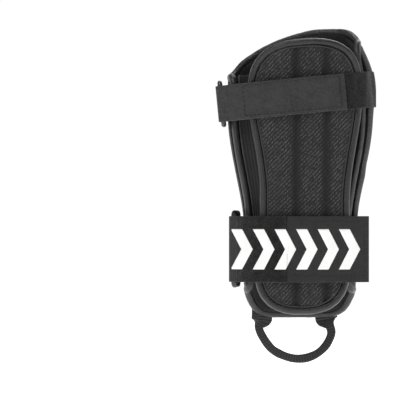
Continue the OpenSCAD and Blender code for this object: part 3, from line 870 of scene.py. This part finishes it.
# The rolled edge is puckered where it turns tightly, below and above the thumb.
pucker = 0.05 + 0.07 * np.abs(np.sin(2 * np.pi * ring_w)) ** 6
hole_dist = along(hole_line)
hole_noise = wobble(np.stack([hole_dist, 0 * hole_dist, 0 * hole_dist], -1), 5.5, 21)
hole_section = oval(BINDING_R + 0.4, BINDING_R - 0.1, 20, 0.9)


def hole_profile(t):
    return hole_section * (0.96 + np.interp(t, hole_dist, pucker * hole_noise))


hole = sweep("thumb_hole_tape", hole_line, hole_out, hole_profile, True)
dress(hole, "leather", "sleeve", "leather_tape", "thumb_hole_binding")
w = np.linspace(0, 1, 200)
line = thumb_ring(w, 3.6, 0.05)
stitches("thumb_hole_seam_1", line, thumb_ring(w, 3.6, SEAM_NORMAL) - line, "sleeve", "leather_tape")


# ---------------------------------------------------------------- mesh between sleeve and back panel
def gusset(name, edge_a, s, node):
    """Stretch mesh from the sleeve's edge to the panel's, slightly ruffled; s is the side of the panel."""
    rows, cols = 80, 14
    v = np.linspace(0, 1, rows)
    zs = 26 + 160 * v
    ruffle = np.sin(np.linspace(0, np.pi, cols))
    grids = []
    for lift in (0.0, 1.0):
        e = skin(np.full(rows, edge_a), zs, -SHELL_T - lift)
        b = panel_point(np.full(rows, float(s)), (zs - 0.8) / PANEL_H, TAPE_W + 1, -0.6 - lift)
        b[:, 2] = zs
        u = np.linspace(0.05, 0.97, cols)[None, :, None]
        grid = e[:, None, :] * (1 - u) + b[:, None, :] * u
        grid[..., 1] += 0.5 * ruffle * np.sin(zs / 2.6)[:, None] * 0.5
        grids.append(grid)
    uv = np.stack(np.broadcast_arrays(np.linspace(0, 14, cols)[None, :], zs[:, None]), -1)
    outer, inner = grids
    if s > 0:
        inner, outer, uv = inner[::-1], outer[::-1], uv[::-1]
    obj = slab(name, outer, inner, uv)
    return dress(obj, "rib", "sleeve", "mesh_lining", node)


gusset("pinky_side_mesh", PINKY_EDGE_A + 2, -1, "pinky_gusset")
gusset("thumb_side_mesh", THUMB_EDGE_A - 2, 1, "thumb_gusset")


# ---------------------------------------------------------------- back panel
def channels(x, width):
    """1 along the panel's two sewn channels, falling to 0 beside them."""
    return [np.exp(-(((x - x0) / width) ** 2)) for x0 in CHANNEL_X]


def quilt(x):
    first, second = channels(x, 2.6)
    return 7.2 - 1.3 * first - 1.3 * second


def under_strap(x, z):
    """1 under the two straps that press on the panel."""
    upper = np.abs(z - UPPER_Z - x * math.tan(math.radians(UPPER_TILT))) < UPPER_W / 2 + 1.5
    lower = np.abs(z - LOWER_Z) < LOWER_W / 2 + 1.5
    return (upper | lower).astype(float)


def back_pad():
    """Quilted cover, foam and lining of the panel as one stuffed piece."""
    rows, cols = 132, 66
    v = ((1 - np.cos(np.pi * np.linspace(0, 1, rows))) / 2 * 0.35 + np.linspace(0, 1, rows) * 0.65)[:, None]
    s = np.linspace(1, -1, cols)[None, :]
    flat = panel_point(s, v, TAPE_W - 1.2, 0)
    inner = panel_point(s, v, TAPE_W - 1.2, 0.1)
    x, z = flat[..., 0], flat[..., 2]
    edge = np.minimum((1 - np.abs(s)) * 38 + 0 * v, np.minimum(v, 1 - v) * 217 + 0 * s)
    shoulder = np.clip(edge / 7, 0, 1)
    shoulder = np.sqrt(np.clip(1 - (1 - shoulder) ** 2, 0, 1))
    height = 5.4 + (quilt(x) - 0.1 - 5.4) * shoulder
    line = sum(channels(x, 2.0))
    height = height - 0.95 * line + 0.18 * wobble(flat.reshape(-1, 3), 40, 31).reshape(rows, cols) * shoulder
    obj = slab("back_pad", back_point(x, z, height), inner, np.stack([-x, z], -1))
    pins = np.maximum.reduce([edge < 2.6, np.clip(line * 1.4, 0, 1), under_strap(x, z) * 0.93])
    inflate(obj, np.concatenate([pins.ravel(), np.ones(rows * cols)]), 11.0, 1.5)
    subdivide(obj)
    return dress(obj, "panel", "sleeve", "ballistic_weave", "back_cover", "back_foam", "back_lining")


back_pad()

for k, x0 in enumerate(CHANNEL_X):
    zs = np.linspace(12, 212, 200)
    xs = np.full(200, x0)
    line = back_point(xs, zs, 5.0)
    normal = back_point(xs, zs, 9) - line
    stitches(f"panel_channel_seam_{k + 1}", line, normal, "sleeve", "ballistic_weave", r=0.22, material="thread_dark")

rim = [(1.0, t) for t in np.linspace(0, 1, 150)] + [(t, 1.0) for t in np.linspace(0.96, -0.96, 30)]
rim += [(-1.0, t) for t in np.linspace(1, 0, 150)] + [(t, 0.0) for t in np.linspace(-0.96, 0.96, 30)]


def rim_line(inset, d):
    """Line round the panel, inset from its edge and d above it, with its outward directions."""
    q = np.array([(s, (1 - math.cos(math.pi * t)) / 2 if abs(s) == 1 else t) for s, t in rim])
    line = panel_point(q[:, 0], q[:, 1], inset, d)
    return line, panel_point(q[:, 0], q[:, 1], inset, d + 5) - line


line, out = rim_line(TAPE_W / 2, 3.5)
line, out = resample(line, out, 1.5, True)
tape("back_edge_tape", line, out, 3.7, TAPE_W / 2 + 0.1, 5, 0.035, "back_binding")
line, out = resample(*rim_line(TAPE_W + 0.2, 6.5), 1.2, True)
piping = sweep("back_inner_piping", line, out, lambda t: oval(0.75, 0.8, 10), True)
dress(piping, "leather", "sleeve", "leather_tape")
line, out = resample(*rim_line(TAPE_W - 1.7, 7.0), 0.8, True)
stitches("back_tape_seam", line, out, "sleeve", "leather_tape", r=0.25)


# ---------------------------------------------------------------- straps
def curve(points, n):
    """Smooth curve through points, as in the frame."""
    p = [np.asarray(q, float) for q in points]
    out = []
    for i in range(len(p) - 1):
        a, b, c, d = p[max(i - 1, 0)], p[i], p[i + 1], p[min(i + 2, len(p) - 1)]
        for k in range(n):
            t = k / n
            squared, cubed = 2 * a - 5 * b + 4 * c - d, 3 * b - a - 3 * c + d
            out.append(0.5 * (2 * b + (c - a) * t + squared * t * t + cubed * t**3))
    return out + [p[-1]]


def over_back(x, z, extra=0.0):
    """Where the middle of a strap lies over the panel, in plan."""
    return back_point(x, z, BAND_D + extra)[:2]


def wrap(bar, bar_r, a0, a1, n):
    """Path of a strap round a ring's bar, from angle a0 to a1."""
    r = bar_r + 0.35 + STRAP_T / 2
    turns = [math.radians(a) for a in np.linspace(a0, a1, n + 1)]
    return [np.array([bar[0] + r * math.cos(a), bar[1] + r * math.sin(a)]) for a in turns]


def place(points, z_mid, tilt=0.0):
    """Strap space (x, y in plan, height across the strap) to the object's."""
    x, y, h = points[..., 0], points[..., 1], points[..., 2]
    t = math.radians(-tilt)
    return np.stack([x * math.cos(t) + h * math.sin(t), y, -x * math.sin(t) + h * math.cos(t) + z_mid], -1)


def sleeve_x(y, z):
    """How far the sleeve's outside reaches towards the thumb at this depth and height."""
    sin = np.clip(np.abs(y) / half_d(z), 0, 1) ** (1 / 0.85)
    slope = 16 * (np.maximum(0, z - 172) / 50) ** 2
    return (half_w(z) - slope + taper(z)) * np.sqrt(1 - sin * sin) ** 0.85 + 0.35


class Strap:
    """Flat strap: a path in plan, thickness and width. outward is the side that the path's left hand points to."""

    def __init__(self, path, t, w, z_mid, tilt=0.0, step=1.2):
        path = np.asarray(path, float)
        path = path[np.concatenate([[True], np.linalg.norm(np.diff(path, axis=0), axis=1) > 1e-6])]
        dist = along(path)
        marks = np.linspace(0, dist[-1], max(4, int(dist[-1] / step)))
        self.path = np.stack([np.interp(marks, dist, path[:, k]) for k in range(2)], -1)
        self.dist, self.t, self.w, self.z_mid, self.tilt = marks, t, w, z_mid, tilt
        ahead = np.gradient(self.path, axis=0)
        ahead /= np.linalg.norm(ahead, axis=1)[:, None]
        self.across = np.stack([-ahead[:, 1], ahead[:, 0]], -1)

    def point(self, dist, h, out):
        """Point at a distance along the strap, height h across it, out from its middle."""
        dist, h, out = np.broadcast_arrays(np.asarray(dist, float), np.asarray(h, float), np.asarray(out, float))
        xy = [np.interp(dist, self.dist, self.path[:, k]) for k in range(2)]
        n = [np.interp(dist, self.dist, self.across[:, k]) for k in range(2)]
        return place(np.stack([xy[0] + n[0] * out, xy[1] + n[1] * out, h], -1), self.z_mid, self.tilt)

    def at_x(self, x, last=True):
        """Distance along the strap where it passes this x, on its last or first pass."""
        xs = self.path[:, 0] - x
        cross = np.nonzero(xs[:-1] * xs[1:] <= 0)[0]
        k = cross[-1] if last else cross[0]
        f = xs[k] / (xs[k] - xs[k + 1])
        return self.dist[k] + f * (self.dist[k + 1] - self.dist[k])

    def section(self):
        """(height, out) of the points round the strap's section, and how many of them each face has."""
        n_w = max(10, int(self.w / 2.0))
        half_w, half_t, ease = self.w / 2, self.t / 2, 0.08 * self.t
        h = np.linspace(-1, 1, n_w) * (half_w - 0.35 * self.t)
        edge = [(half_w - ease, half_t * 0.72), (half_w, 0.0), (half_w - ease, -half_t * 0.72)]
        loop = [(hh, half_t) for hh in h] + edge
        loop += [(hh, -half_t) for hh in h[::-1]] + [(-hh, -out) for hh, out in edge]
        return np.array(loop), n_w

    def build(self, name, wave=0.0, seed=0, lengths=None, sewn_x=None):
        """Mesh with rounded edges. wave is how far its surface ripples; past sewn_x it lies on the sleeve."""
        loop, n_w = self.section()
        lo, hi = lengths if lengths else (0, self.dist[-1])
        ease = 0.35 * self.t
        inner = self.dist[(self.dist > lo + 0.6 * self.t) & (self.dist < hi - 0.6 * self.t)]
        marks = np.concatenate([[lo, lo + ease], inner, [hi - ease, hi]])
        size = np.ones(len(marks))
        size[0] = size[-1] = 0.45
        m = len(loop)
        points = self.point(marks[:, None], loop[None, :, 0], loop[None, :, 1] * size[:, None])
        if wave:
            mid = self.point(marks[:, None], loop[None, :, 0], 0.0)
            n = np.stack([np.interp(marks, self.dist, self.across[:, k]) for k in range(2)], -1)
            ripple = wave * wobble(mid.reshape(-1, 3), 17, seed).reshape(mid.shape[:2])
            points[..., :2] += n[:, None] * ripple[..., None]
        if sewn_x is not None:
            mid = self.point(marks[:, None], loop[None, :, 0], -self.t / 2)
            rise = np.clip(sleeve_x(mid[..., 1], mid[..., 2]) + 0.8 - mid[..., 0], -2.4, 3)
            points[..., 0] += rise * smooth01((mid[..., 0] - sewn_x) / 6)
        uv = np.stack(np.broadcast_arrays(marks[:, None], loop[None, :, 0] + 40), -1)
        # Close each end with a strip of quads between its two long sides.
        sides = ([n_w - 1, n_w, n_w + 1, n_w + 2, n_w + 3], [2 * n_w + 2, 2 * n_w + 3, 2 * n_w + 4, 2 * n_w + 5, 0])
        cap = [(j, j + 1, 2 * n_w + 1 - j, 2 * n_w + 2 - j) for j in range(n_w - 1)] + [tuple(q) for q in sides]
        faces = grid_faces(len(marks), m, wrap_cols=True)
        faces += [quad[::-1] for quad in cap]
        faces += [tuple((len(marks) - 1) * m + q for q in quad) for quad in cap]
        return make(name, points.reshape(-1, 3), faces, uv.reshape(-1, 2))

    def line(self, d0, d1, h0, h1, out):
        """Straight line on the strap with its outward directions."""
        dist, h = np.linspace(d0, d1, 160), np.linspace(h0, h1, 160)
        line = self.point(dist, h, out)
        return line, self.point(dist, h, out + np.sign(out)) - line


HOOK_D = TAIL_LIFT - STRAP_T / 2 - HOOK_T / 2 - 0.12
UPPER = (UPPER_Z, UPPER_TILT)


def upper_back(xs, extra=0.0):
    return [over_back(x, UPPER_Z, extra) for x in xs]


def lower_back(xs, extra=0.0):
    return [over_back(x, LOWER_Z, extra) for x in xs]


def round_palm(angles, lift):
    """Path of the lower band round the palm side, a little clear of the sleeve."""
    return [skin(a, LOWER_Z, lift + 2.6 * math.sin(math.radians(a)))[:2] for a in angles]


upper_band = Strap(
    curve([(58.6, -3), (57.7, -10.4), (54.3, -19.3)] + upper_back(range(44, -41, -12)), 8)
    + [wrap(UPPER_BAR, UPPER_BAR_R, 54, 54, 1)[0] + [0.7, -0.45]], STRAP_T, UPPER_W, *UPPER)
upper_tail = Strap(
    wrap(UPPER_BAR, UPPER_BAR_R, 65, 237, 24)
    + curve([(-53.5, -23.6)] + upper_back([*range(-44, 27, 10), 34.6], TAIL_LIFT), 8), STRAP_T, UPPER_W, *UPPER, 0.9)
upper_hook = Strap(upper_back(range(-41, 35, 5), HOOK_D), HOOK_T, UPPER_W - 2, *UPPER)
upper_keeper = Strap(
    curve([(-55.4, 13.2), (-57.8, 6), (-57.9, 0.5)], 6) + wrap(UPPER_KEEPER_BAR, UPPER_BAR_R, 0, -180, 18)
    + curve([(-63, 3), (-60.6, 9), (-57.2, 14.6)], 6), 1.2, UPPER_W - 2, *UPPER, 0.8)

keeper_bar = np.array(LOWER_KEEPER_BAR)
keeper_reach = LOWER_BAR_R + 0.35 + STRAP_T / 2
lower_band = Strap(
    curve(round_palm(range(134, 155, 10), 2.9) + [(-49.8, 9), keeper_bar + [-keeper_reach, 1]], 6)
    + wrap(keeper_bar, LOWER_BAR_R, 180, 360, 20)
    + curve([keeper_bar + [keeper_reach, 1.5], (-44.9, 4)] + round_palm(range(164, 7, -12), 1.2)
            + [(47.2, -7), (46.5, -15.2), (44.2, -23.9), (39, -29.7)] + lower_back(range(30, -31, -12))
            + [(-41, -24.6)], 6)
    + [wrap(LOWER_BAR, LOWER_BAR_R, 48, 48, 1)[0] + [0.7, -0.7]], STRAP_T, LOWER_W - 1, LOWER_Z)
end_y = over_back(38, LOWER_Z, TAIL_LIFT)[1]
lower_tail = Strap(
    wrap(LOWER_BAR, LOWER_BAR_R, 59, 231, 24)
    + curve([(-44.5, -27.6)] + lower_back(range(-35, 31, 13), TAIL_LIFT) + [(42, end_y), (52.5, end_y + 4.5)], 8),
    STRAP_T, LOWER_W, LOWER_Z, 0.0, 0.9)
lower_hook = Strap(lower_back(range(-9, 32, 5), HOOK_D), HOOK_T, LOWER_W - 3, LOWER_Z)


def blend_tail(obj, level, node):
    """Webbing of a tail, with its fold round the ring: gives it its material, hides the part it stands for and bakes
    its placement into its mesh.
    """
    obj.data.materials.append(MAT["webbing" if level == "upper" else "lower_webbing"])
    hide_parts(node)
    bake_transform(obj)
    return obj


dress(upper_band.build("upper_strap_pile", 0.12, 41, sewn_x=49), "pile", "sleeve", "pile_loop", "upper_strap_band")
blend_tail(upper_tail.build("upper_strap_webbing"), "upper", "upper_strap_tail")
dress(upper_hook.build("upper_strap_hooks"), "hook", "upper_tail", "hook_tape", "upper_hook_patch")
dress(upper_keeper.build("upper_ring_tab"), "webbing", "sleeve", "strap_webbing", "upper_ring_keeper")
dress(lower_band.build("lower_strap_pile", 0.14, 42), "pile", "sleeve", "pile_loop", "lower_strap_band")
blend_tail(lower_tail.build("lower_strap_webbing"), "lower", "lower_strap_tail")
dress(lower_hook.build("lower_strap_hooks"), "hook", "lower_tail", "hook_tape", "lower_hook_patch")


# ---------------------------------------------------------------- stitching and print on the straps
FACE = -(STRAP_T / 2 + 0.04)


def strap_seam(level, part, strap, d0, d1, h0, h1, out=FACE):
    """Row of stitches on a strap's tail, from (d0, h0) to (d1, h1)."""
    line, normal = strap.line(d0, d1, h0, h1, out)
    name = f"{level}_strap_seam_{part}"
    stitches(name, line, normal, f"{level}_tail", "strap_webbing", r=0.5, material="thread_dark")


def zigzag(name, strap, body, x, h, n):
    """Bar of zigzag stitching across a strap."""
    corners_h = np.linspace(-h, h, n)
    corners_d = strap.at_x(x) + 1.3 * np.where(np.arange(n) % 2, 1, -1)
    line = strap.point(corners_d, corners_h, FACE)
    normal = strap.point(corners_d, corners_h, FACE - 1) - line
    step = float(np.linalg.norm(line[1] - line[0]))
    stitches(name, line, normal, body, "strap_webbing", step * 0.96, step * 0.04, 0.36, "thread_dark")


start_d, end_d = upper_tail.at_x(-44), upper_tail.at_x(33)
strap_seam("upper", "low", upper_tail, start_d, end_d, -11.6, -11.6)
strap_seam("upper", "high", upper_tail, start_d, end_d, 11.6, 11.6)
strap_seam("upper", "ring", upper_tail, start_d, start_d, -11.4, 11.4)
zigzag("upper_strap_zigzag", upper_tail, "upper_tail", 30.8, 12.3, 24)

seam_d, tip_d = lower_tail.at_x(-10.5), lower_tail.at_x(49.5)
strap_seam("lower", "low", lower_tail, seam_d + 1, tip_d, -21, -21)
strap_seam("lower", "high", lower_tail, seam_d + 1, tip_d, 21, 21)
strap_seam("lower", "tip", lower_tail, tip_d, tip_d, -22.5, 22.5)

PATCH_T = 0.5
patch_path = lower_tail.path - lower_tail.across * (STRAP_T / 2 + PATCH_T / 2 - 0.05)
patch_strap = Strap(patch_path, PATCH_T, LOWER_W - 0.6, LOWER_Z, 0.0, 0.9)
patch_reach = (patch_strap.at_x(-49.5), patch_strap.at_x(-10.5))
dress(patch_strap.build("lower_strap_pile_patch", 0.06, 43, patch_reach), "pile", "lower_tail", "pile_loop")
patch_end = patch_strap.at_x(-12.2)
for part, h0, h1 in (("patch_low", -24, -16.5), ("patch_high", 16.5, 24)):
    strap_seam("lower", part, patch_strap, patch_end, patch_end, h0, h1, -(PATCH_T / 2 + 0.03))


CHEVRON_H, CHEVRON_POINT, CHEVRON_W, PRINT_X0, PRINT_X1 = 15.5, 8.0, 8.4, -52.5, 47.0


def chevron(name, x0):
    """White printed arrowhead toward the strap's free end; its back corners are 6 mm behind x0."""
    h = np.linspace(-CHEVRON_H, CHEVRON_H, 27)[:, None]
    back = x0 - 6 + CHEVRON_POINT * (1 - np.abs(h) / CHEVRON_H)
    low = np.maximum(back, PRINT_X0)
    high = np.minimum(np.maximum(back + CHEVRON_W, PRINT_X0 + 0.3), PRINT_X1)
    x = low + (high - low) * np.linspace(0, 1, 14)[None, :]
    h = h + 0 * x
    d = np.vectorize(lower_tail.at_x)(x)
    out = np.where(x < -10.2, -(STRAP_T / 2 + PATCH_T + 0.02), -(STRAP_T / 2 + 0.05))
    top, bottom = lower_tail.point(d, h, out - 0.1), lower_tail.point(d, h, out + 0.05)
    dress(slab(name, top, bottom, np.stack([x, h], -1)), "print", "lower_tail", "strap_webbing")


for k in range(6):
    chevron(f"print_chevron_{k + 1}", -47.0 + 16.4 * k)

CAD_MATERIALS = {"upper_ring": "ring", "lower_ring": "ring", "palm_stays": "splint", "back_splint": "splint"}
for name, material in CAD_MATERIALS.items():
    mesh = nodes[name].data
    mesh.materials.clear()
    mesh.materials.append(MAT[material])
    if material == "ring":
        mesh.polygons.foreach_set("use_smooth", [True] * len(mesh.polygons))


# ---------------------------------------------------------------- pull loop
LOOP_ROUTE = [
    (-31.5, -9.6), (-31, -13), (-28, -19), (-22, -27), (-14, -32), (-4, -35),
    (6, -34.5), (15, -30.5), (21.5, -24), (25, -16.5), (25, -12.5), (24, -9.6),
]


def pull_loop():
    """Webbing strip: flat and ribbed where it is sewn, folded to half its width between."""
    x0, x1 = LOOP_X
    start = [(x0, 12.6), (x0, 6), (x0, 0), (x0 - 0.4, -5), (x0 - 1.6, -8)]
    end = [(x1 + 2, -8), (x1 + 0.7, -5), (x1, 0), (x1, 6), (x1, 12.6)]
    path = np.array(curve(start + curve(LOOP_ROUTE, 8)[::4] + end, 8))
    z = path[:, 1]
    tab = smooth01((z + 10.5) / 6.5)
    left = path[:, 0] < 0
    y = LOOP_Y + np.where(left, TAB_Y[0] - LOOP_Y, TAB_Y[1] - LOOP_Y) * tab
    turn = np.radians(np.where(left, TAB_TURN[0], TAB_TURN[1])) * tab
    points = np.stack([path[:, 0], y, z], -1)
    outward = np.stack([-np.sin(turn), np.cos(turn), 0 * turn], -1)
    points, outward = resample(points, outward, 0.8)
    dist = along(points)
    tab = smooth01((points[:, 2] + 10.5) / 6.5)
    fold = 0.25 * wobble(points, 15, 61)

    def profile(t):
        k = np.interp(t, dist, tab)
        n = np.interp(t, dist, fold)
        half_w = 3.3 + (TAB_W / 2 - 3.4) * k
        half_t = 1.75 + (STRAP_T / 2 - 1.75) * k
        section = oval(1, 1, 28, 0.55)
        # The fold leaves a groove down one side of the strand.
        groove = 1 - 0.3 * (1 - k) * np.exp(-((section[:, 1] - 0.25) ** 2) / 0.03) * (section[:, 0] < 0)
        return np.stack([section[:, 0] * half_t * groove, section[:, 1] * (half_w + n * (1 - k))], -1)

    return sweep("pull_loop_webbing", points, outward, profile, round_ends=False)


loop = pull_loop()
loop.data.materials.append(MAT["loop_webbing"])
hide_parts("pull_loop", "pull_loop_tabs")
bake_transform(loop)


# ---------------------------------------------------------------- stage, light and camera
def studio_floor():
    """Plain pale floor below the object."""
    floor_z, half = -70.0, 9000.0
    points = [(-half, -half, floor_z), (half, -half, floor_z), (half, half, floor_z), (-half, half, floor_z)]
    obj = make("studio_floor", points, [(0, 1, 2, 3)], closed=False)
    obj.data.materials.append(floor_material("floor_paper"))
    return obj


def lamp(name, place_m, size, power):
    """Soft square lamp that looks at the middle of the object."""
    data = bpy.data.lights.new(name, "AREA")
    data.size, data.energy = size, power
    obj = bpy.data.objects.new(name, data)
    bpy.context.scene.collection.objects.link(obj)
    obj.location = place_m
    direction = mathutils.Vector((0.0, 0.0, 0.1)) - mathutils.Vector(place_m)
    obj.rotation_euler = direction.to_track_quat("-Z", "Y").to_euler()


studio_floor()
lamp("key", (-1.0, -1.6, 1.6), 0.7, 17)
lamp("fill", (1.6, -1.2, 0.7), 0.9, 4)
lamp("top", (0.0, 0.2, 2.0), 1.0, 13)
lamp("rim_back", (0.6, 1.5, 1.3), 1.2, 9)


def studio_world():
    """White behind the object near the horizon, grey overhead and in front, so that the lamps shape it."""
    world = bpy.data.worlds.new("studio")
    bpy.context.scene.world = world
    world.use_nodes = True
    tree = world.node_tree
    coords = tree.nodes.new("ShaderNodeTexCoord")
    split = tree.nodes.new("ShaderNodeSeparateXYZ")
    tree.links.new(coords.outputs["Generated"], split.inputs[0])
    shades = []
    for axis, stops in ((2, ((0.22, 1.0), (0.6, 0.15))), (1, ((0.35, 0.42), (0.75, 1.0)))):
        source = split.outputs[axis]
        if axis == 1:
            shift = tree.nodes.new("ShaderNodeMath")
            shift.operation = "MULTIPLY_ADD"
            shift.inputs[1].default_value = shift.inputs[2].default_value = 0.5
            tree.links.new(source, shift.inputs[0])
            source = shift.outputs[0]
        ramp = tree.nodes.new("ShaderNodeValToRGB")
        for element, (position, shade) in zip(ramp.color_ramp.elements, stops):
            element.position, element.color = position, (shade, shade, shade, 1)
        tree.links.new(source, ramp.inputs[0])
        shades.append(ramp.outputs[0])
    both = tree.nodes.new("ShaderNodeMix")
    both.data_type, both.blend_type = "RGBA", "MULTIPLY"
    both.inputs[0].default_value = 1
    tree.links.new(shades[0], both.inputs[6])
    tree.links.new(shades[1], both.inputs[7])
    tree.links.new(both.outputs[2], tree.nodes["Background"].inputs[0])
    tree.nodes["Background"].inputs[1].default_value = 1.02


studio_world()

camera_data = bpy.data.cameras.new("photo_view")
camera_data.sensor_width = 36
DISTANCE, VIEW_W = 3.0, 0.3077
camera_data.lens = 36 * DISTANCE / VIEW_W
camera_data.clip_end = 20
camera = bpy.data.objects.new("photo_view", camera_data)
bpy.context.scene.collection.objects.link(camera)
camera.location = (-0.0777, -0.035 - DISTANCE, 0.0892)
camera.rotation_euler = (math.radians(90), 0, 0)
bpy.context.scene.camera = camera
bpy.context.scene.view_settings.view_transform = "Standard"
